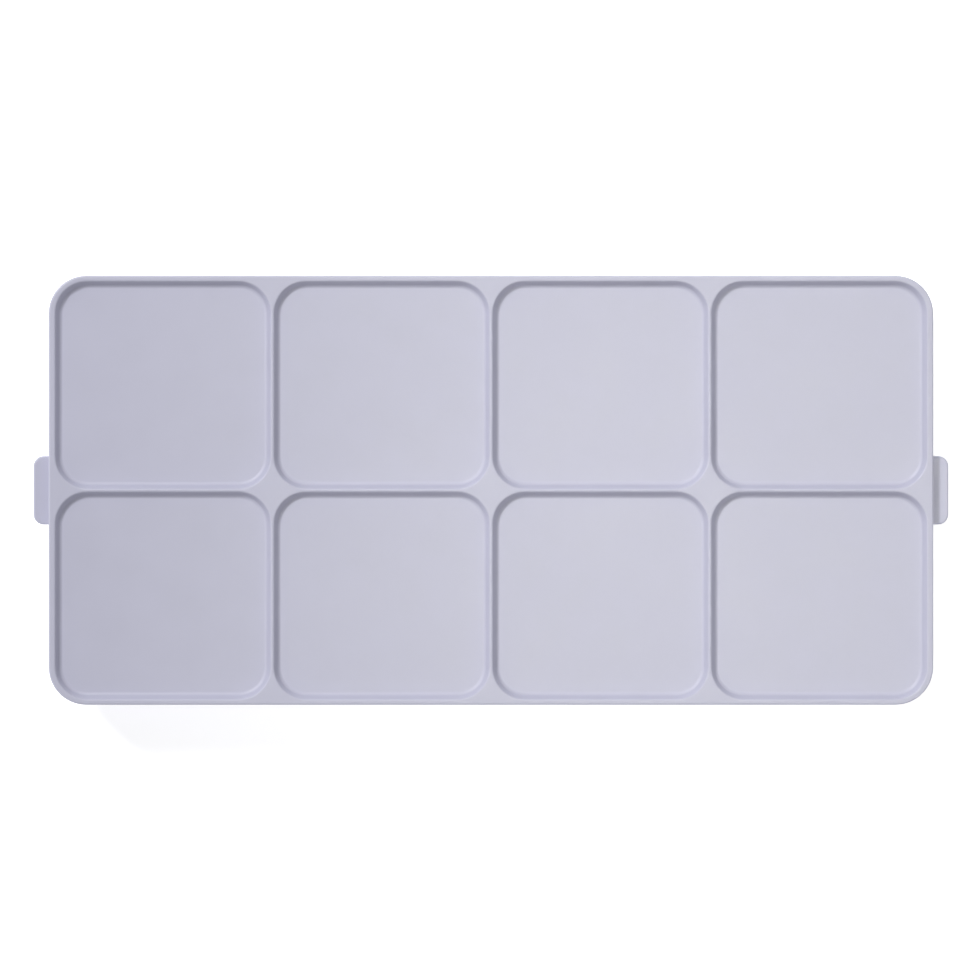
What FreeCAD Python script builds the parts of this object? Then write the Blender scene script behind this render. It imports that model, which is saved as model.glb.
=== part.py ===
import FreeCAD, Part
import os
import Sketcher

V = FreeCAD.Vector
doc = FreeCAD.newDocument("wet_palette")

# ---------------------------------------------------------------- sizes, mm
sheet = doc.addObject("Spreadsheet::Sheet", "Sizes")
CELLS = [
    # mixing tray, outline and heights above the table
    ("tray_len", 235.0), ("tray_wid", 114.0), ("tray_rad", 10.0),
    ("rim_top", 28.0), ("skirt_low", 16.5), ("skirt_thick", 1.8),
    ("plate_thick", 1.6), ("well_depth", 2.3), ("well_draft", 27.0),
    ("rim_end", 1.7), ("rim_side", 1.45), ("ridge_wide", 0.78), ("ridge_pitch", 58.1),
    ("well_rad", 8.6), ("crest_round", 0.6), ("floor_round", 1.2),
    ("rim_round", 0.5), ("skirt_round", 0.4),
    ("rib_gap", 0.6), ("rib_thick", 1.4), ("rib_low", 20.4),
    # end tabs and hinge cheeks of the tray
    ("tab_out", 4.3), ("tab_wid", 18.25), ("tab_thick", 2.2), ("tab_drop", 3.0),
    ("tab_rad", 2.7), ("tab_round", 0.45), ("cheek_thick", 1.5), ("cheek_rad", 1.9),
    ("cheek_inset", 1.825), ("tab_dish", 0.42),
    # latch pins
    ("pin_out", 2.2), ("pin_up", 20.3), ("pin_rad", 0.8), ("pin_len", 14.4),
    ("pin_clear", 0.06), ("pin_round", 0.2),
    # latches
    ("latch_wid", 11.3), ("barrel_rad", 1.75), ("leg_in", 0.5), ("leg_out", 1.3),
    ("leg_low", 6.5), ("hook_in", 2.1), ("hook_low", 6.826), ("hook_slope", 0.429),
    ("hook_land", 0.5), ("hook_ramp", 2.4), ("flare_out", 2.0), ("flare_high", 3.2),
    ("flare_land", 0.9), ("flare_round", 0.4), ("bend_round", 1.0), ("latch_round", 0.25),
    ("grip_rad", 0.5), ("grip_up", 4.6), ("grip_step", 1.5), ("grip_short", 3.0),
    # seal
    ("seal_side", 0.1), ("seal_thick", 1.5), ("seal_round", 0.3),
    # base tray
    ("base_side", 0.5), ("base_low", 1.5), ("base_floor", 2.0), ("base_wall", 2.0),
    ("base_draft", 2.0), ("base_round", 3.0), ("cavity_round", 1.5),
    ("flange_low", 14.4), ("flange_thick", 1.6), ("flange_inset", 0.3), ("flange_round", 0.4),
    ("lip_round", 0.45),
    ("rail_len", 196.0), ("rail_wid", 1.6), ("rail_high", 0.8), ("rail_step", 20.0),
    ("panel_len", 96.0), ("panel_wid", 40.0), ("panel_rad", 5.0), ("panel_deep", 0.4), ("panel_round", 0.25),
    # sponge and paper
    ("sponge_len", 221.0), ("sponge_wid", 100.0), ("sponge_rad", 5.0), ("sponge_thick", 6.0),
    ("sponge_round", 1.2),
    ("paper_thick", 0.3),
    # feet
    ("foot_rad", 5.0), ("foot_x", 98.0), ("foot_y", 40.0), ("foot_sunk", 0.7),
    ("foot_round", 0.5),
]
for row, (alias, value) in enumerate(CELLS, start=1):
    sheet.set("A%d" % row, alias)
    sheet.set("B%d" % row, str(value))
    sheet.setAlias("B%d" % row, alias)
DERIVED = [
    ("plate_low", "=rim_top - well_depth - plate_thick"),
    ("base_top", "=rim_top - well_depth - plate_thick - seal_thick"),
    ("pin_x", "=tray_len / 2 + pin_out"),
    ("tab_low", "=rim_top - tab_drop - tab_thick"),
    ("base_len", "=tray_len - 2 * skirt_thick - 2 * base_side"),
    ("base_wid", "=tray_wid - 2 * skirt_thick - 2 * base_side"),
    ("base_rad", "=tray_rad - skirt_thick - base_side"),
    ("rib_len", "=tray_len - 2 * skirt_thick - 2 * base_side - 2 * base_wall - 2 * rib_gap"),
    ("rib_wid", "=tray_wid - 2 * skirt_thick - 2 * base_side - 2 * base_wall - 2 * rib_gap"),
    ("rib_rad", "=tray_rad - skirt_thick - base_side - base_wall - rib_gap"),
    ("sponge_low", "=base_low + base_floor + rail_high"),
    ("paper_low", "=base_low + base_floor + rail_high + sponge_thick"),
]
for row, (alias, text) in enumerate(DERIVED, start=len(CELLS) + 1):
    sheet.set("A%d" % row, alias)
    sheet.set("B%d" % row, text)
    sheet.setAlias("B%d" % row, alias)
doc.recompute()


def val(alias):
    return float(sheet.get(alias))


def sz(text):
    """An expression whose words are cells of the sheet."""
    out, word = "", ""
    for ch in text + " ":
        if ch.isalnum() or ch == "_":
            word += ch
            continue
        if word:
            out += word if word.replace(".", "").isdigit() else "Sizes." + word
            word = ""
        out += ch
    return out.strip()


def number(text):
    """The same expression as a number, to start a sketch close to its solution."""
    tokens, word = [], ""
    for ch in text + " ":
        if ch.isalnum() or ch in "_.":
            word += ch
            continue
        if word:
            tokens.append(word)
            word = ""
        if ch in "+-*/()":
            tokens.append(ch)

    def term():
        t = tokens.pop(0)
        if t == "(":
            x = total()
            tokens.pop(0)
            return x
        return val(t) if t[0].isalpha() else float(t)

    def product():
        x = term()
        while tokens and tokens[0] in "*/":
            x = x * term() if tokens.pop(0) == "*" else x / term()
        return x

    def total():
        x = product()
        while tokens and tokens[0] in "+-":
            x = x + product() if tokens.pop(0) == "+" else x - product()
        return x

    return total()


def plane(body, role):
    return [f for f in body.Origin.OriginFeatures if f.Role == role][0]


def body(label):
    b = doc.addObject("PartDesign::Body", label)
    b.Label = label
    return b


def sketch(b, name, role, offset=None):
    s = b.newObject("Sketcher::SketchObject", name)
    s.AttachmentSupport = [(plane(b, role), "")]
    s.MapMode = "FlatFace"
    if offset:
        s.setExpression("AttachmentOffset.Base.z", sz(offset))
    return s


def dim(s, name, expr, *where):
    kind = where[0]
    i = s.addConstraint(Sketcher.Constraint(kind, *where[1:], number(expr)))
    s.renameConstraint(i, name)
    s.setExpression("Constraints." + name, sz(expr))


def rrect(s, name, length, width, rad, x0=None, y0=None):
    """A rounded rectangle: about the sketch's origin, or with its lower left corner arc's centre at x0, y0."""
    ln, wd, r = number(length), number(width), number(rad)
    dx, dy = ln - 2 * r, wd - 2 * r
    cx = number(x0) if x0 else -dx / 2
    cy = number(y0) if y0 else -dy / 2
    pi = 3.141592653589793
    c = [(cx, cy), (cx + dx, cy), (cx + dx, cy + dy), (cx, cy + dy)]
    g = []
    for k in range(4):
        a0 = pi + k * pi / 2
        g.append(s.addGeometry(Part.ArcOfCircle(
            Part.Circle(V(c[k][0], c[k][1], 0), V(0, 0, 1), r), a0, a0 + pi / 2)))
    ends = [((0, -r), (0, -r)), ((r, 0), (r, 0)), ((0, r), (0, r)), ((-r, 0), (-r, 0))]
    lines = []
    for k in range(4):
        a, b = c[k], c[(k + 1) % 4]
        o, q = ends[k]
        lines.append(s.addGeometry(Part.LineSegment(
            V(a[0] + o[0], a[1] + o[1], 0), V(b[0] + q[0], b[1] + q[1], 0))))
    con = []
    for k in range(4):
        con.append(Sketcher.Constraint("Tangent", g[k], 2, lines[k], 1))
        con.append(Sketcher.Constraint("Tangent", lines[k], 2, g[(k + 1) % 4], 1))
        con.append(Sketcher.Constraint("Horizontal" if k % 2 == 0 else "Vertical", lines[k]))
    for k in range(1, 4):
        con.append(Sketcher.Constraint("Equal", g[0], g[k]))
    s.addConstraint(con)
    dim(s, name + "_rad", rad, "Radius", g[0])
    dim(s, name + "_dx", length + " - 2 * (" + rad + ")", "DistanceX", g[0], 3, g[1], 3)
    dim(s, name + "_dy", width + " - 2 * (" + rad + ")", "DistanceY", g[1], 3, g[2], 3)
    if x0:
        dim(s, name + "_x0", x0, "DistanceX", -1, 1, g[0], 3)
        dim(s, name + "_y0", y0, "DistanceY", -1, 1, g[0], 3)
    else:
        s.addConstraint(Sketcher.Constraint("Symmetric", g[0], 3, g[2], 3, -1, 1))


def polygon(s, name, points):
    """A closed loop of straight lines whose corners are bound to the sheet: (x expression, y expression), all positive."""
    pts = [(number(x), number(y)) for x, y in points]
    n = len(pts)
    ids = [s.addGeometry(Part.LineSegment(V(pts[k][0], pts[k][1], 0), V(pts[(k + 1) % n][0], pts[(k + 1) % n][1], 0)))
           for k in range(n)]
    s.addConstraint([Sketcher.Constraint("Coincident", ids[k], 2, ids[(k + 1) % n], 1) for k in range(n)])
    for k in range(n):
        dim(s, "%s_x%d" % (name, k), points[k][0], "DistanceX", -1, 1, ids[k], 1)
        dim(s, "%s_y%d" % (name, k), points[k][1], "DistanceY", -1, 1, ids[k], 1)


def circle(s, name, x, y, rad):
    g = s.addGeometry(Part.Circle(V(number(x), number(y), 0), V(0, 0, 1), number(rad)))
    dim(s, name + "_rad", rad, "Radius", g)
    dim(s, name + "_x", x, "DistanceX", -1, 1, g, 3)
    dim(s, name + "_y", y, "DistanceY", -1, 1, g, 3)


def pad(b, name, profile, length, reverse=False, middle=False, taper=None):
    f = b.newObject("PartDesign::Pad", name)
    f.Profile = profile
    f.Reversed = reverse
    f.Midplane = middle
    f.setExpression("Length", sz(length))
    if taper:
        f.setExpression("TaperAngle", sz(taper))
    profile.Visibility = False
    b.Tip = f
    doc.recompute()
    return f


def pocket(b, name, profile, length, reverse=False, middle=False, taper=None):
    before = b.Shape.Volume
    f = b.newObject("PartDesign::Pocket", name)
    f.Profile = profile
    f.Reversed = reverse
    f.Midplane = middle
    f.setExpression("Length", sz(length))
    if taper:
        f.setExpression("TaperAngle", sz(taper))
    profile.Visibility = False
    b.Tip = f
    doc.recompute()
    if b.Shape.Volume > before - 1e-3:
        raise RuntimeError(name + " removed nothing")
    return f


def mirrored(b, name, originals, roles):
    m = b.newObject("PartDesign::MultiTransform", name)
    m.Originals = originals
    b.Tip = m
    steps = []
    for role in roles:
        t = b.newObject("PartDesign::Mirrored", name + "_" + role)
        t.MirrorPlane = (plane(b, role), [""])
        steps.append(t)
    m.Transformations = steps
    b.Tip = m
    doc.recompute()
    return m


def fillet(b, name, radius, pick):
    base = b.Tip
    names = ["Edge%d" % (i + 1) for i, e in enumerate(base.Shape.Edges) if pick(e)]
    if not names:
        raise RuntimeError(name + " found no edges")
    f = b.newObject("PartDesign::Fillet", name)
    f.Base = (base, names)
    f.setExpression("Radius", sz(radius))
    b.Tip = f
    doc.recompute()
    if f.Shape.isNull() or not f.Shape.isValid():
        raise RuntimeError(name + " failed")
    return f


def level(e, z, tol=1e-3):
    bb = e.BoundBox
    return abs(bb.ZMin - z) < tol and abs(bb.ZMax - z) < tol


def reach(e):
    """Largest distance from the middle in x and y of an edge's box, as half sizes."""
    bb = e.BoundBox
    return max(abs(bb.XMin), abs(bb.XMax)), max(abs(bb.YMin), abs(bb.YMax))


# ---------------------------------------------------------------- mixing tray
tray = body("mixing_tray")
s = sketch(tray, "tray_outline", "XY_Plane", "skirt_low")
rrect(s, "outer", "tray_len", "tray_wid", "tray_rad")
pad(tray, "tray_block", s, "rim_top - skirt_low")

# underside: the space inside the skirt, with a locating rib left standing inside it
s = sketch(tray, "skirt_space", "XY_Plane", "skirt_low")
rrect(s, "inside", "tray_len - 2 * skirt_thick", "tray_wid - 2 * skirt_thick", "tray_rad - skirt_thick")
pocket(tray, "skirt_pocket", s, "rib_low - skirt_low", reverse=True)
s = sketch(tray, "channel_space", "XY_Plane", "rib_low")
rrect(s, "inside", "tray_len - 2 * skirt_thick", "tray_wid - 2 * skirt_thick", "tray_rad - skirt_thick")
rrect(s, "rib_outer", "rib_len", "rib_wid", "rib_rad")
pocket(tray, "channel_pocket", s, "plate_low - rib_low", reverse=True)
s = sketch(tray, "plate_space", "XY_Plane", "rib_low")
rrect(s, "rib_inner", "rib_len - 2 * rib_thick", "rib_wid - 2 * rib_thick", "rib_rad - rib_thick")
pocket(tray, "plate_pocket", s, "plate_low - rib_low", reverse=True)

# one inner and one outer well, then the other six by mirroring
s = sketch(tray, "well_outlines", "XY_Plane", "rim_top")
rrect(s, "inner", "ridge_pitch - ridge_wide", "tray_wid / 2 - rim_side - ridge_wide / 2", "well_rad",
      "ridge_wide / 2 + well_rad", "ridge_wide / 2 + well_rad")
rrect(s, "outer", "tray_len / 2 - rim_end - ridge_pitch - ridge_wide / 2",
      "tray_wid / 2 - rim_side - ridge_wide / 2", "well_rad",
      "ridge_pitch + ridge_wide / 2 + well_rad", "ridge_wide / 2 + well_rad")
wells = pocket(tray, "well_pockets", s, "well_depth", taper="0 - well_draft")
mirrored(tray, "eight_wells", [wells], ["YZ_Plane", "XZ_Plane"])

floor_z = val("rim_top") - val("well_depth")
fillet(tray, "well_floors", "floor_round", lambda e: level(e, floor_z))
half_l, half_w = val("tray_len") / 2, val("tray_wid") / 2


def well_top(e):
    if not level(e, val("rim_top")):
        return False
    rx, ry = reach(e)
    return rx < half_l - 0.5 and ry < half_w - 0.5


fillet(tray, "well_crests", "crest_round", well_top)
fillet(tray, "rim_edge", "rim_round",
       lambda e: level(e, val("rim_top")) and (reach(e)[0] > half_l - 0.2 or reach(e)[1] > half_w - 0.2))
fillet(tray, "skirt_edge", "skirt_round",
       lambda e: level(e, val("skirt_low")) and (reach(e)[0] > half_l - 0.2 or reach(e)[1] > half_w - 0.2))

# end tabs: finger tabs below the rim that rise a little towards their tips, each with two cheeks for a latch pin
s = sketch(tray, "tab_profile", "XZ_Plane")
polygon(s, "tab", [
    ("tray_len / 2 - 0.5", "tab_low"), ("tray_len / 2 + tab_out", "tab_low"),
    ("tray_len / 2 + tab_out", "rim_top - tab_drop"), ("tray_len / 2 - 0.5", "rim_top - tab_drop - tab_dish")])
tab = pad(tray, "tab_right", s, "tab_wid", middle=True)
mirrored(tray, "tabs", [tab], ["YZ_Plane"])

s = sketch(tray, "cheek_outline", "XZ_Plane", "cheek_thick / 2 - tab_wid / 2 + cheek_inset")
polygon(s, "cheek", [
    ("tray_len / 2 - 0.5", "pin_up - cheek_rad"), ("pin_x", "pin_up - cheek_rad"),
    ("pin_x", "pin_up"), ("pin_x + cheek_rad", "pin_up"),
    ("pin_x + cheek_rad", "tab_low + 0.2"), ("tray_len / 2 - 0.5", "tab_low + 0.2")])
cheek = pad(tray, "cheek_plate", s, "cheek_thick", middle=True)
s = sketch(tray, "cheek_round", "XZ_Plane", "cheek_thick / 2 - tab_wid / 2 + cheek_inset")
circle(s, "cheek_end", "pin_x", "pin_up", "cheek_rad")
cheek_end = pad(tray, "cheek_boss", s, "cheek_thick", middle=True)
mirrored(tray, "cheeks", [cheek, cheek_end], ["XZ_Plane", "YZ_Plane"])
s = sketch(tray, "pin_hole_outline", "XZ_Plane")
circle(s, "pin_hole", "pin_x", "pin_up", "pin_rad")
hole = pocket(tray, "pin_hole_right", s, "tab_wid + 2", middle=True)
mirrored(tray, "pin_holes", [hole], ["YZ_Plane"])

tab_x = half_l + val("tab_out")
tab_y = val("tab_wid") / 2
tab_root = val("rim_top") - val("tab_drop") - val("tab_dish")
tab_slope = val("tab_dish") / (val("tab_out") + 0.5)


def tab_corner(e):
    bb = e.BoundBox
    return (bb.ZLength > 1 and bb.XLength < 1e-3 and bb.YLength < 1e-3
            and abs(reach(e)[0] - tab_x) < 1e-3 and abs(reach(e)[1] - tab_y) < 1e-3)


def tab_rim(e):
    rx, ry = reach(e)
    return (rx > half_l + 0.3 and ry < tab_y + 0.1
            and all(abs(v.Z - tab_root - tab_slope * (abs(v.X) - half_l + 0.5)) < 1e-3 for v in e.Vertexes))


fillet(tray, "tab_corners", "tab_rad", tab_corner)
fillet(tray, "tab_edges", "tab_round", tab_rim)

# ---------------------------------------------------------------- seal under the tray
seal = body("tray_seal")
s = sketch(seal, "seal_outline", "XY_Plane", "base_top")
rrect(s, "outer", "tray_len - 2 * skirt_thick - 2 * seal_side", "tray_wid - 2 * skirt_thick - 2 * seal_side",
      "tray_rad - skirt_thick - seal_side")
rrect(s, "inner", "rib_len + 2 * seal_side", "rib_wid + 2 * seal_side", "rib_rad + seal_side")
pad(seal, "seal_ring", s, "seal_thick")
fillet(seal, "seal_edges", "seal_round", lambda e: level(e, val("base_top")))


# ---------------------------------------------------------------- latches and their pins
def latch(label, turn):
    b = body(label)
    sk = sketch(b, label + "_profile", "XZ_Plane")
    polygon(sk, "leg", [
        ("pin_x - leg_in", "pin_up"),
        ("pin_x - leg_in", "pin_up - hook_low + hook_slope"),
        ("pin_x - hook_in", "pin_up - hook_low"),
        ("pin_x - hook_in", "pin_up - hook_low - hook_land"),
        ("pin_x - leg_in", "pin_up - hook_low - hook_land - hook_ramp"),
        ("pin_x - leg_in", "leg_low"),
        ("pin_x + flare_out", "leg_low"),
        ("pin_x + flare_out", "leg_low + flare_land"),
        ("pin_x + leg_out", "leg_low + flare_high"),
        ("pin_x + leg_out", "pin_up")])
    pad(b, label + "_leg", sk, "latch_wid", middle=True)
    sk = sketch(b, label + "_barrel_outline", "XZ_Plane")
    circle(sk, "barrel", "pin_x", "pin_up", "barrel_rad")
    pad(b, label + "_barrel", sk, "latch_wid", middle=True)
    sk = sketch(b, label + "_bore_outline", "XZ_Plane")
    circle(sk, "bore", "pin_x", "pin_up", "pin_rad + pin_clear")
    pocket(b, label + "_bore", sk, "latch_wid + 2", middle=True)
    low = val("leg_low")
    fillet(b, label + "_flare", "flare_round",
           lambda e: e.BoundBox.YLength > 5 and (level(e, low) or level(e, low + val("flare_land")))
           and e.BoundBox.XMin > val("pin_x"))
    fillet(b, label + "_bend", "bend_round",
           lambda e: e.BoundBox.YLength > 5 and level(e, low + val("flare_high")))
    half = val("latch_wid") / 2
    fillet(b, label + "_sides", "latch_round",
           lambda e: e.BoundBox.YLength < 1e-3 and abs(abs(e.BoundBox.YMin) - half) < 1e-3
           and not (abs(e.BoundBox.ZLength - 2 * (val("pin_rad") + val("pin_clear"))) < 0.02))
    sk = sketch(b, label + "_grip_outline", "XZ_Plane")
    for k in range(3):
        circle(sk, "grip%d" % k, "pin_x + leg_out - 0.1", "leg_low + grip_up + %d * grip_step" % k, "grip_rad")
    pad(b, label + "_grips", sk, "latch_wid - grip_short", middle=True)
    b.Placement = FreeCAD.Placement(V(0, 0, 0), FreeCAD.Rotation(V(0, 0, 1), turn))
    return b


def pin(label, turn):
    b = body(label)
    sk = sketch(b, label + "_outline", "XZ_Plane")
    circle(sk, "pin", "pin_x", "pin_up", "pin_rad")
    pad(b, label + "_rod", sk, "pin_len", middle=True)
    fillet(b, label + "_ends", "pin_round", lambda e: e.BoundBox.YLength < 1e-3)
    b.Placement = FreeCAD.Placement(V(0, 0, 0), FreeCAD.Rotation(V(0, 0, 1), turn))
    return b


right_latch = latch("right_latch", 0)
left_latch = latch("left_latch", 180)
right_pin = pin("right_latch_pin", 0)
left_pin = pin("left_latch_pin", 180)

# ---------------------------------------------------------------- paper and sponge
paper = body("palette_paper")
s = sketch(paper, "paper_outline", "XY_Plane", "paper_low")
rrect(s, "paper", "sponge_len", "sponge_wid", "sponge_rad")
pad(paper, "paper_sheet", s, "paper_thick")

sponge = body("sponge_pad")
s = sketch(sponge, "sponge_outline", "XY_Plane", "sponge_low")
rrect(s, "sponge", "sponge_len", "sponge_wid", "sponge_rad")
pad(sponge, "sponge_block", s, "sponge_thick")
fillet(sponge, "sponge_edge", "sponge_round", lambda e: level(e, val("sponge_low")))

# ---------------------------------------------------------------- base tray
base = body("base_tray")
s = sketch(base, "base_outline", "XY_Plane", "base_top")
rrect(s, "outer", "base_len", "base_wid", "base_rad")
pad(base, "base_block", s, "base_top - base_low", reverse=True, taper="0 - base_draft")
fillet(base, "base_foot_edge", "base_round", lambda e: level(e, val("base_low")))
s = sketch(base, "cavity_outline", "XY_Plane", "base_top")
rrect(s, "cavity", "base_len - 2 * base_wall", "base_wid - 2 * base_wall", "base_rad - base_wall")
pocket(base, "cavity", s, "base_top - base_low - base_floor", taper="0 - base_draft")
cavity_z = val("base_low") + val("base_floor")
fillet(base, "cavity_edge", "cavity_round", lambda e: level(e, cavity_z))
s = sketch(base, "flange_outline", "XY_Plane", "flange_low")
rrect(s, "outer", "tray_len - 2 * flange_inset", "tray_wid - 2 * flange_inset", "tray_rad - flange_inset")
rrect(s, "inner", "base_len - base_wall", "base_wid - base_wall", "base_rad - base_wall / 2")
pad(base, "flange", s, "flange_thick")
fl_x, fl_y = half_l - val("flange_inset"), half_w - val("flange_inset")
fillet(base, "flange_edge", "flange_round",
       lambda e: (level(e, val("flange_low")) or level(e, val("flange_low") + val("flange_thick")))
       and (reach(e)[0] > fl_x - 0.1 or reach(e)[1] > fl_y - 0.1))
fillet(base, "lip_edge", "lip_round", lambda e: level(e, val("base_top")))
s = sketch(base, "rail_outline", "XY_Plane", "base_low + base_floor")
rrect(s, "rail", "rail_len", "rail_wid", "rail_wid / 2.5")
rail = pad(base, "rail_middle", s, "rail_high")
for side in ("up", "down"):
    lp = base.newObject("PartDesign::LinearPattern", "rails_" + side)
    lp.Originals = [rail]
    base.Tip = lp
    lp.Direction = (s, ["V_Axis"])
    lp.Reversed = side == "down"
    lp.setExpression("Length", sz("rail_step * 2"))
    lp.Occurrences = 3
    doc.recompute()
s = sketch(base, "foot_seat_outline", "XY_Plane", "base_low")
circle(s, "seat", "foot_x", "foot_y", "foot_rad")
seat = pocket(base, "foot_seat", s, "foot_sunk", reverse=True)
mirrored(base, "foot_seats", [seat], ["XZ_Plane", "YZ_Plane"])
# a shallow bare panel in the middle of the underside
s = sketch(base, "panel_outline", "XY_Plane", "base_low")
rrect(s, "panel", "panel_len", "panel_wid", "panel_rad")
pocket(base, "underside_panel", s, "panel_deep", reverse=True)
fillet(base, "panel_edge", "panel_round", lambda e: level(e, val("base_low") + val("panel_deep")))

# ---------------------------------------------------------------- feet
feet = body("foot_pads")
feet.AllowCompound = True
s = sketch(feet, "foot_outline", "XY_Plane")
circle(s, "foot", "foot_x", "foot_y", "foot_rad")
foot = pad(feet, "foot", s, "base_low + foot_sunk")
fillet(feet, "foot_edge", "foot_round", lambda e: level(e, 0))
m = mirrored(feet, "four_feet", [foot, feet.Tip], ["XZ_Plane", "YZ_Plane"])

# ---------------------------------------------------------------- checks and files
doc.recompute()
for o in doc.Objects:
    bad = [x for x in o.State if x in ("Invalid", "Error")]
    if bad:
        raise RuntimeError("%s is %s" % (o.Name, bad))
    if hasattr(o, "Shape") and o.isDerivedFrom("PartDesign::Body"):
        if o.Shape.isNull() or not o.Shape.isValid():
            raise RuntimeError(o.Label + " has no valid shape")

os.makedirs("parts", exist_ok=True)
for b in (tray, seal, right_latch, left_latch, right_pin, left_pin, paper, sponge, base, feet):
    bb = b.Shape.BoundBox
    print("%-16s solids %d volume %9.1f  x %8.2f %8.2f  y %7.2f %7.2f  z %6.2f %6.2f" % (
        b.Label, len(b.Shape.Solids), b.Shape.Volume, bb.XMin, bb.XMax, bb.YMin, bb.YMax, bb.ZMin, bb.ZMax))
    b.Shape.exportStep("parts/%s.step" % b.Label)
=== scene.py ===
import math
import random

import bpy
import numpy as np
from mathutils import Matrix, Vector, kdtree, noise


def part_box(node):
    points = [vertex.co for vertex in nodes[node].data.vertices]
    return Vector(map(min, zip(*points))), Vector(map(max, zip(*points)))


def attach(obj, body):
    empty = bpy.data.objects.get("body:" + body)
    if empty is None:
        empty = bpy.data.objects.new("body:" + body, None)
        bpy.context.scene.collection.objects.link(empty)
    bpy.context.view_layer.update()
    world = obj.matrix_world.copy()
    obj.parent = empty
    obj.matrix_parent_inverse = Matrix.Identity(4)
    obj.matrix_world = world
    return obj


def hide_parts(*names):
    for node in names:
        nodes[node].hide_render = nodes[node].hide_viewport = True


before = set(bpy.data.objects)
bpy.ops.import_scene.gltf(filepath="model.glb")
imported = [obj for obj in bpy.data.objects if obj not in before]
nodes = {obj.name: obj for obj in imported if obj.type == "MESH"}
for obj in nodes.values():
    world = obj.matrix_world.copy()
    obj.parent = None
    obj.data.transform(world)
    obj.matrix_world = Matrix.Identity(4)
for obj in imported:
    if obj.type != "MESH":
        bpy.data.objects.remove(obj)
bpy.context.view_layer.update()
scene = bpy.context.scene
scene.view_settings.view_transform = "Standard"
scene.view_settings.look = "None"

MM = 0.001
RIM = 28 * MM


# ---------------------------------------------------------------- materials
class Tree:
    """A small helper to wire up one procedural material."""

    def __init__(self, name):
        self.mat = bpy.data.materials.new(name)
        self.mat.use_nodes = True
        self.nt = self.mat.node_tree
        self.nt.nodes.clear()
        self.out = self.nt.nodes.new("ShaderNodeOutputMaterial")
        self.bsdf = self.nt.nodes.new("ShaderNodeBsdfPrincipled")
        self.nt.links.new(self.bsdf.outputs[0], self.out.inputs[0])
        self.coord = self.nt.nodes.new("ShaderNodeTexCoord").outputs["Object"]

    def new(self, kind, **props):
        n = self.nt.nodes.new(kind)
        for k, v in props.items():
            setattr(n, k, v)
        return n

    def link(self, a, b):
        self.nt.links.new(a, b)

    def noise(self, scale, detail=3.0, rough=0.55, stretch=None, dist=0.0):
        n = self.new("ShaderNodeTexNoise")
        n.inputs["Scale"].default_value = scale
        n.inputs["Detail"].default_value = detail
        n.inputs["Roughness"].default_value = rough
        n.inputs["Distortion"].default_value = dist
        src = self.coord
        if stretch:
            m = self.new("ShaderNodeMapping")
            m.inputs["Scale"].default_value = stretch
            self.link(self.coord, m.inputs["Vector"])
            src = m.outputs[0]
        self.link(src, n.inputs["Vector"])
        return n.outputs["Fac"]

    def remap(self, fac, a, b, c, d, clamp=True):
        n = self.new("ShaderNodeMapRange")
        n.clamp = clamp
        for i, v in zip((1, 2, 3, 4), (a, b, c, d)):
            n.inputs[i].default_value = v
        self.link(fac, n.inputs[0])
        return n.outputs[0]

    def math(self, op, a, b):
        n = self.new("ShaderNodeMath", operation=op)
        for i, x in enumerate((a, b)):
            if isinstance(x, (int, float)):
                n.inputs[i].default_value = x
            else:
                self.link(x, n.inputs[i])
        return n.outputs[0]

    def ramp(self, fac, stops):
        n = self.new("ShaderNodeValToRGB")
        e = n.color_ramp.elements
        while len(e) < len(stops):
            e.new(0.5)
        for i, (p, c) in enumerate(stops):
            e[i].position = p
            e[i].color = (*c, 1.0)
        self.link(fac, n.inputs[0])
        return n.outputs[0]

    def mix(self, fac, a, b, mode="MIX"):
        n = self.new("ShaderNodeMix", data_type="RGBA", blend_type=mode)
        if isinstance(fac, (int, float)):
            n.inputs[0].default_value = fac
        else:
            self.link(fac, n.inputs[0])
        for i, x in ((6, a), (7, b)):
            if isinstance(x, tuple):
                n.inputs[i].default_value = (*x, 1.0)
            else:
                self.link(x, n.inputs[i])
        return n.outputs[2]

    def bump(self, height, strength, distance, under=None):
        n = self.new("ShaderNodeBump")
        n.inputs["Strength"].default_value = strength
        n.inputs["Distance"].default_value = distance
        self.link(height, n.inputs["Height"])
        if under is not None:
            self.link(under, n.inputs["Normal"])
        return n.outputs[0]

    def set(self, **values):
        for k, v in values.items():
            self.bsdf.inputs[k.replace("_", " ")].default_value = v
        return self

    def to(self, socket, value):
        self.link(value, self.bsdf.inputs[socket])


def tint(c, f):
    return tuple(max(0.0, min(1.0, x * f)) for x in c)


def moulded_plastic(name, colour, rough=(0.36, 0.47), grain=0.10):
    """Satin moulded plastic: faint flow mottling, fine spark-eroded grain and a trace of unevenness."""
    t = Tree(name)
    flow = t.noise(11.0, 3.0, 0.5, stretch=(0.6, 1.0, 1.0), dist=0.4)
    cloud = t.noise(85.0, 3.0, 0.5)
    fine = t.noise(2600.0, 2.0, 0.6)
    peel = t.noise(260.0, 2.0, 0.5)
    shade = t.math("ADD", t.remap(flow, 0.3, 0.7, -0.5, 0.5), t.remap(cloud, 0.3, 0.7, -0.35, 0.35))
    both = t.remap(shade, -0.85, 0.85, 0.0, 1.0)
    t.to("Base Color", t.ramp(both, [(0.0, tint(colour, 0.972)), (0.5, colour), (1.0, tint(colour, 1.026))]))
    t.to("Roughness", t.remap(t.math("ADD", cloud, t.math("MULTIPLY", fine, 0.35)), 0.35, 1.0, *rough))
    n = t.bump(peel, 0.25, 0.00004)
    n = t.bump(fine, grain, 0.00005, n)
    t.to("Normal", n)
    t.set(IOR=1.49, Specular_IOR_Level=0.55)
    return t.mat


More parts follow.
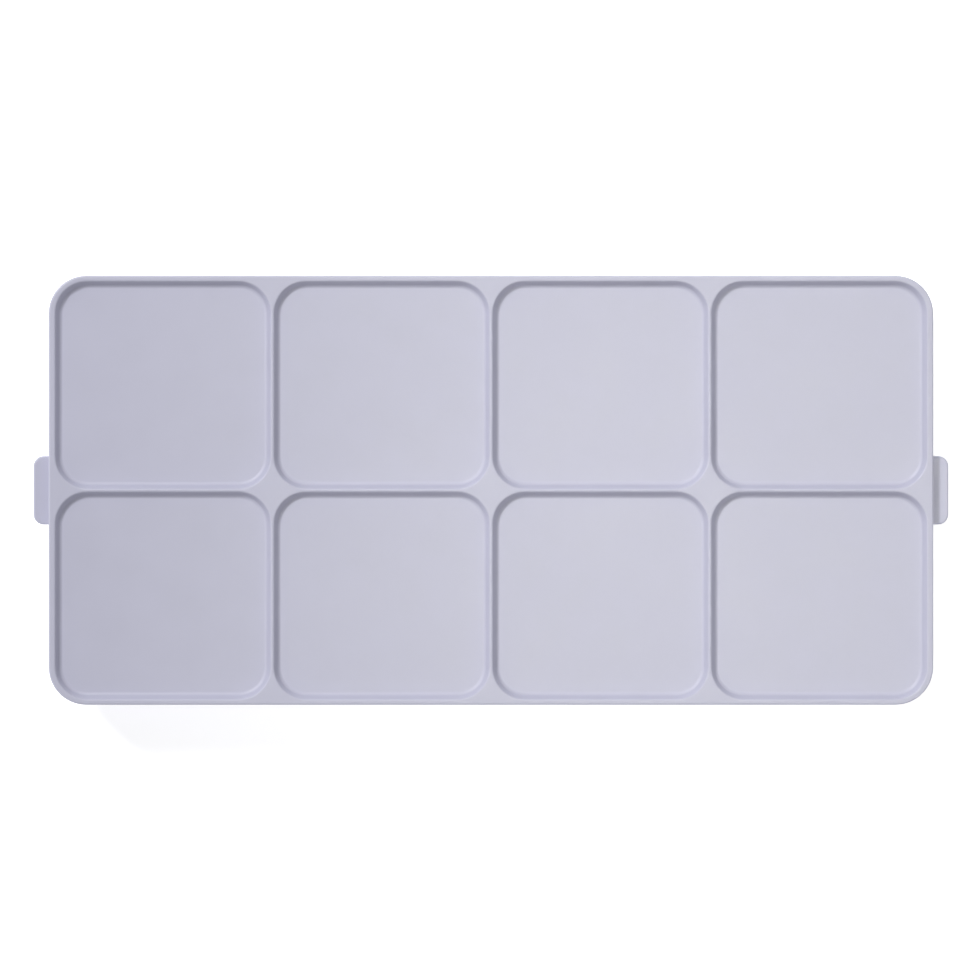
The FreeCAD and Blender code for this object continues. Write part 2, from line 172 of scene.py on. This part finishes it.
def silicone(name, colour):
    t = Tree(name)
    cloud = t.noise(120.0, 2.0)
    fine = t.noise(1800.0, 2.0)
    t.to("Base Color", t.ramp(cloud, [(0.25, tint(colour, 0.95)), (0.75, tint(colour, 1.03))]))
    t.to("Roughness", t.remap(fine, 0.3, 0.7, 0.42, 0.58))
    t.to("Normal", t.bump(fine, 0.08, 0.00004))
    t.set(Subsurface_Weight=0.25, Subsurface_Scale=0.002, IOR=1.41)
    return t.mat


def steel(name):
    t = Tree(name)
    streak = t.noise(900.0, 3.0, 0.6, stretch=(1.0, 0.04, 1.0))
    t.to("Base Color", t.ramp(streak, [(0.3, (0.46, 0.46, 0.47)), (0.7, (0.62, 0.62, 0.63))]))
    t.to("Roughness", t.remap(streak, 0.3, 0.7, 0.22, 0.40))
    t.to("Normal", t.bump(streak, 0.06, 0.00002))
    t.set(Metallic=1.0)
    return t.mat


def rubber(name, colour):
    t = Tree(name)
    cloud = t.noise(160.0, 3.0)
    fine = t.noise(2200.0, 3.0, 0.65)
    t.to("Base Color", t.ramp(cloud, [(0.3, tint(colour, 0.82)), (0.7, tint(colour, 1.18))]))
    t.to("Roughness", t.remap(fine, 0.3, 0.7, 0.62, 0.84))
    t.to("Normal", t.bump(fine, 0.2, 0.00006))
    t.set(Specular_IOR_Level=0.35)
    return t.mat


def foam(name):
    """Damp cellulose sponge: the depth of the pores comes from the mesh, the small cells from noise; the colour darkens
    the deeper the pores go, which is painted shade in the pores.
    """
    t = Tree(name)
    # depth of the pores, read only to paint shade into them
    pore_shade = t.new("ShaderNodeAttribute", attribute_name="pore_shade").outputs["Fac"]
    cloud = t.noise(28.0, 3.0)
    cells = t.new("ShaderNodeTexVoronoi")
    cells.inputs["Scale"].default_value = 1500.0
    t.link(t.coord, cells.inputs["Vector"])
    fine = t.noise(1300.0, 4.0, 0.65)
    body = t.ramp(cloud, [(0.25, (0.60, 0.44, 0.16)), (0.55, (0.70, 0.54, 0.22)), (0.8, (0.76, 0.61, 0.28))])
    body = t.mix(t.remap(fine, 0.35, 0.65, 0.0, 0.35), body, (0.82, 0.70, 0.40))
    # painted shade: the colour turns dark brown the deeper the pores go
    t.to("Base Color", t.mix(t.remap(pore_shade, 0.0, 1.0, 0.0, 0.85), body, (0.30, 0.19, 0.05)))
    t.to("Roughness", t.remap(fine, 0.3, 0.7, 0.78, 0.95))
    n = t.bump(cells.outputs["Distance"], 0.45, 0.0003)
    t.to("Normal", t.bump(fine, 0.35, 0.0002, n))
    t.set(Specular_IOR_Level=0.25, Subsurface_Weight=0.12, Subsurface_Scale=0.002)
    return t.mat


def membrane(name):
    """Damp parchment: warm white, cloudy where it is wetter, with fine fibres."""
    t = Tree(name)
    wet = t.noise(22.0, 4.0, 0.55, dist=0.6)
    fibre = t.noise(700.0, 4.0, 0.7, stretch=(1.0, 0.35, 1.0))
    c = t.ramp(wet, [(0.28, (0.72, 0.66, 0.50)), (0.5, (0.80, 0.76, 0.63)), (0.75, (0.86, 0.83, 0.74))])
    t.to("Base Color", t.mix(t.remap(fibre, 0.35, 0.7, 0.0, 0.22), c, (0.92, 0.90, 0.84)))
    t.to("Roughness", t.remap(wet, 0.3, 0.7, 0.34, 0.55))
    t.to("Normal", t.bump(fibre, 0.18, 0.00005))
    t.set(Subsurface_Weight=0.15, Subsurface_Scale=0.001)
    return t.mat


def paint(obj, mat):
    obj.data.materials.clear()
    obj.data.materials.append(mat)


LAVENDER = (0.53, 0.53, 0.655)
tray_mat = moulded_plastic("tray_plastic", LAVENDER)
base_mat = moulded_plastic("base_plastic", tint(LAVENDER, 0.97), rough=(0.38, 0.50), grain=0.14)
seal_mat = silicone("seal_silicone", (0.62, 0.64, 0.68))
pin_mat = steel("pin_steel")
foot_mat = rubber("foot_rubber", (0.075, 0.075, 0.085))
foam_mat = foam("foam")
paper_mat = membrane("membrane")


# ---------------------------------------------------------------- clean shading for the CAD pieces
def smooth_by_angle(name, degrees):
    """Joins the face patches and shades them smooth across every edge flatter than the given angle."""
    g = bpy.data.node_groups.new(name, "GeometryNodeTree")
    g.interface.new_socket("Geometry", in_out="INPUT", socket_type="NodeSocketGeometry")
    g.interface.new_socket("Geometry", in_out="OUTPUT", socket_type="NodeSocketGeometry")
    gi, go = g.nodes.new("NodeGroupInput"), g.nodes.new("NodeGroupOutput")
    weld = g.nodes.new("GeometryNodeMergeByDistance")
    weld.inputs["Distance"].default_value = 2e-6
    drop = g.nodes.new("GeometryNodeRemoveAttribute")
    drop.inputs["Name"].default_value = "custom_normal"
    faces = g.nodes.new("GeometryNodeSetShadeSmooth")
    faces.domain = "FACE"
    angle = g.nodes.new("GeometryNodeInputMeshEdgeAngle")
    flat = g.nodes.new("FunctionNodeCompare")
    flat.data_type, flat.operation = "FLOAT", "LESS_EQUAL"
    flat.inputs[1].default_value = math.radians(degrees)
    edges = g.nodes.new("GeometryNodeSetShadeSmooth")
    edges.domain = "EDGE"
    for a, b in ((gi.outputs[0], weld.inputs["Geometry"]), (weld.outputs[0], drop.inputs["Geometry"]),
                 (drop.outputs[0], faces.inputs["Geometry"]), (faces.outputs[0], edges.inputs["Geometry"]),
                 (angle.outputs["Unsigned Angle"], flat.inputs[0]),
                 (flat.outputs[0], edges.inputs["Shade Smooth"]), (edges.outputs[0], go.inputs[0])):
        g.links.new(a, b)
    return g


smooth_group = smooth_by_angle("join_and_smooth", 33.0)
for n, m in (("mixing_tray", tray_mat), ("left_latch", tray_mat), ("right_latch", tray_mat), ("base_tray", base_mat),
             ("tray_seal", seal_mat), ("left_latch_pin", pin_mat), ("right_latch_pin", pin_mat),
             ("foot_pads", foot_mat)):
    o = nodes[n]
    paint(o, m)
    mod = o.modifiers.new("join_and_smooth", "NODES")
    mod.node_group = smooth_group
    wn = o.modifiers.new("weighted_normals", "WEIGHTED_NORMAL")
    wn.mode = "FACE_AREA"
    wn.weight = 80
    wn.keep_sharp = True


# ---------------------------------------------------------------- sponge
def add_mesh(name, verts, faces, mat, smooth=True):
    me = bpy.data.meshes.new(name)
    me.from_pydata([tuple(v) for v in verts], [], faces)
    me.validate()
    me.update()
    if smooth:
        me.polygons.foreach_set("use_smooth", [True] * len(me.polygons))
    o = bpy.data.objects.new(name, me)
    scene.collection.objects.link(o)
    paint(o, mat)
    return o


def slab(lo, hi, rad, step, nz, edge):
    """A closed slab of even quads with rounded plan corners and slightly rounded edges: vertices and quads."""
    lx, ly, lz = hi[0] - lo[0], hi[1] - lo[1], hi[2] - lo[2]
    nx, ny = max(8, round(lx / step)), max(8, round(ly / step))
    index, verts, quads = {}, [], []

    def vid(i, j, k):
        key = (i, j, k)
        if key not in index:
            index[key] = len(verts)
            verts.append((i / nx, j / ny, k / nz))
        return index[key]

    for i in range(nx):
        for j in range(ny):
            quads.append((vid(i, j, nz), vid(i + 1, j, nz), vid(i + 1, j + 1, nz), vid(i, j + 1, nz)))
            quads.append((vid(i, j, 0), vid(i, j + 1, 0), vid(i + 1, j + 1, 0), vid(i + 1, j, 0)))
    for k in range(nz):
        for i in range(nx):
            quads.append((vid(i, 0, k), vid(i + 1, 0, k), vid(i + 1, 0, k + 1), vid(i, 0, k + 1)))
            quads.append((vid(i + 1, ny, k), vid(i, ny, k), vid(i, ny, k + 1), vid(i + 1, ny, k + 1)))
        for j in range(ny):
            quads.append((vid(0, j + 1, k), vid(0, j, k), vid(0, j, k + 1), vid(0, j + 1, k + 1)))
            quads.append((vid(nx, j, k), vid(nx, j + 1, k), vid(nx, j + 1, k + 1), vid(nx, j, k + 1)))
    p = np.array(verts)
    x = (p[:, 0] - 0.5) * lx
    y = (p[:, 1] - 0.5) * ly
    z = p[:, 2] * lz
    u = np.clip((np.abs(x) - (lx / 2 - rad)) / rad, 0, 1)
    v = np.clip((np.abs(y) - (ly / 2 - rad)) / rad, 0, 1)
    corner = (u > 0) & (v > 0)
    uu, vv = u * np.sqrt(1 - v * v / 2), v * np.sqrt(1 - u * u / 2)
    x = np.where(corner, np.sign(x) * (lx / 2 - rad + uu * rad), x)
    y = np.where(corner, np.sign(y) * (ly / 2 - rad + vv * rad), y)
    # distance in from the outline, to round the top and bottom edges
    dx, dy = lx / 2 - np.abs(x), ly / 2 - np.abs(y)
    cx, cy = np.clip(np.abs(x) - (lx / 2 - rad), 0, None), np.clip(np.abs(y) - (ly / 2 - rad), 0, None)
    inner = np.where((cx > 0) & (cy > 0), rad - np.hypot(cx, cy), np.minimum(dx, dy))
    drop = edge - np.sqrt(np.clip(edge ** 2 - np.clip(edge - inner, 0, edge) ** 2, 0, None))
    zc = lz / 2
    z = zc + np.sign(z - zc) * np.minimum(np.abs(z - zc), zc - drop)
    mid = np.array([(lo[0] + hi[0]) / 2, (lo[1] + hi[1]) / 2, lo[2]])
    return np.stack([x, y, z], 1) + mid, quads


lo, hi = (Vector(v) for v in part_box("sponge_pad"))
co, quads = slab(lo, hi, 5 * MM, 0.75 * MM, 10, 0.9 * MM)
sponge = add_mesh("sponge", co, quads, foam_mat)
sponge.data.update()
nor = np.zeros(len(co) * 3)
sponge.data.vertices.foreach_get("normal", nor)
nor = nor.reshape(-1, 3)
rng = random.Random(7)
tree = kdtree.KDTree(len(co))
for i, p in enumerate(co):
    tree.insert(p, i)
tree.balance()
depth = np.zeros(len(co))
for k in range(5200):
    c = co[rng.randrange(len(co))]
    r = (0.55 + 2.1 * rng.random() ** 4.0) * MM
    deep = r * (0.45 + 0.3 * rng.random())
    stretch = 1 + 0.5 * rng.random()
    turn = rng.random() * math.pi
    for q, i, d in tree.find_range(c, r * stretch):
        e = Vector(q) - Vector(c)
        a = e.x * math.cos(turn) + e.y * math.sin(turn)
        f = 1 - (math.hypot(a / stretch, math.sqrt(max(0.0, d * d - a * a))) / r) ** 2
        if f > 0:
            depth[i] = max(depth[i], deep * f ** 0.7)
depth = np.minimum(depth, 1.1 * MM)
wave = np.array([noise.noise(Vector(p) * 45.0) * 0.16 + noise.noise(Vector(p) * 420.0) * 0.10 for p in co]) * MM
co = co - nor * (depth + np.clip(wave + 0.2 * MM, 0, None))[:, None]
sponge.data.vertices.foreach_set("co", co.ravel())
# depth of the pores, kept only so the foam material can paint shade into them
at = sponge.data.attributes.new("pore_shade", "FLOAT", "POINT")
at.data.foreach_set("value", np.clip(depth / (0.9 * MM), 0, 1))
sponge.data.update()
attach(sponge, "sponge")
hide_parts("sponge_pad")

# ---------------------------------------------------------------- paper
lo, hi = (Vector(v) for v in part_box("palette_paper"))
PAPER_THICK = 0.15 * MM
co, quads = slab(lo, (hi[0], hi[1], lo[2] + PAPER_THICK), 5 * MM, 1.5 * MM, 1, 1e-6)
lift = []
for x, y, z in co:
    swell = noise.noise(Vector((x * 17.0, y * 24.0, 3.1))) * 0.5 + noise.noise(Vector((x * 42.0, y * 55.0, 8.7))) * 0.22
    rim = max(0.0, 1 - min(hi[0] - abs(x), hi[1] - abs(y)) / (9 * MM))
    lift.append((0.17 + 0.26 * swell + 0.16 * rim * rim * (0.6 + noise.noise(Vector((x * 30.0, y * 30.0, 1.0))))) * MM)
co[:, 2] += np.clip(np.array(lift), 0.01 * MM, 0.55 * MM)
paper = add_mesh("paper", co, quads, paper_mat)
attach(paper, "paper")
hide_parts("palette_paper")


# ---------------------------------------------------------------- floor, light and camera
def floor_material():
    t = Tree("studio_floor")
    cloud = t.noise(1.5, 2.0)
    t.to("Base Color", t.ramp(cloud, [(0.3, (0.90, 0.90, 0.90)), (0.7, (0.93, 0.93, 0.93))]))
    t.set(Roughness=0.9, Specular_IOR_Level=0.1)
    t.bsdf.inputs["Emission Color"].default_value = (1, 1, 1, 1)
    t.bsdf.inputs["Emission Strength"].default_value = 0.56
    return t.mat


def sweep_floor(mat):
    """A round floor that turns up into a low wall far away, so that no horizon shows from the side."""
    rings = [(0.5, 0.0), (2.0, 0.0), (6.0, 0.0), (18.0, 0.0), (26.0, 0.0)]
    rings += [(26.0 + 5.0 * math.sin(a), 5.0 - 5.0 * math.cos(a)) for a in (math.radians(9 * k) for k in range(1, 10))]
    count = 64
    verts = [(r * math.cos(math.tau * k / count), r * math.sin(math.tau * k / count), z) for r, z in rings
             for k in range(count)]
    faces = [tuple(range(count))]
    for j in range(len(rings) - 1):
        for k in range(count):
            a, b = j * count + k, j * count + (k + 1) % count
            faces.append((a, a + count, b + count, b))
    return add_mesh("floor", verts, faces, mat)


floor = sweep_floor(floor_material())
floor.location.z = -0.0002


def panel(name, where, size, watts, aim=(0, 0, 0.028), spread=180.0, tone=(1, 1, 1)):
    l = bpy.data.lights.new(name, "AREA")
    l.shape = "RECTANGLE"
    l.size, l.size_y = size
    l.energy = watts
    l.color = tone
    l.spread = math.radians(spread)
    o = bpy.data.objects.new(name, l)
    o.location = where
    o.rotation_mode = "QUATERNION"
    o.rotation_quaternion = (Vector(aim) - Vector(where)).to_track_quat("-Z", "Y")
    o.visible_camera = False
    scene.collection.objects.link(o)
    return o


KEY_FAR, KEY_UP = 2.0, math.radians(49.0)
flat_part, tall_part = KEY_FAR * math.cos(KEY_UP), KEY_FAR * math.sin(KEY_UP)
half = flat_part * math.sqrt(0.5)
panel("key", (-half, half, RIM + tall_part), (0.48, 0.48), 24.0)
# two side panels that only show as a gleam on the rounded edges
for name, where in (("edge_left", (-flat_part, 0.0)), ("edge_back", (0.0, flat_part))):
    gleam = panel(name, (*where, RIM + tall_part), (0.3, 0.3), 6.0)
    gleam.visible_diffuse = False
panel("overhead", (0.07, 0.0, RIM + 0.9), (0.25, 0.25), 0.044, aim=(0.07, 0.0, RIM), spread=16.0,
      tone=(1.0, 1.0, 0.88))
world = bpy.data.worlds.new("studio")
world.use_nodes = True
bg = world.node_tree.nodes["Background"]
bg.inputs[0].default_value = (1, 1, 1, 1)
bg.inputs[1].default_value = 0.35
scene.world = world

SCALE = 235.0 / 885.0 * MM      # metres per pixel in the plane of the rim
HIGH = 1.2
cam = bpy.data.cameras.new("camera")
cam.sensor_fit = "HORIZONTAL"
cam.sensor_width = 36.0
cam.lens = 18.0 * HIGH / (485.0 * SCALE)
cam.clip_start, cam.clip_end = 0.01, 100.0
eye = bpy.data.objects.new("camera", cam)
eye.location = (-6.0 * SCALE, 5.3 * SCALE, RIM + HIGH)
eye.rotation_euler = (0, 0, 0)
scene.collection.objects.link(eye)
scene.camera = eye
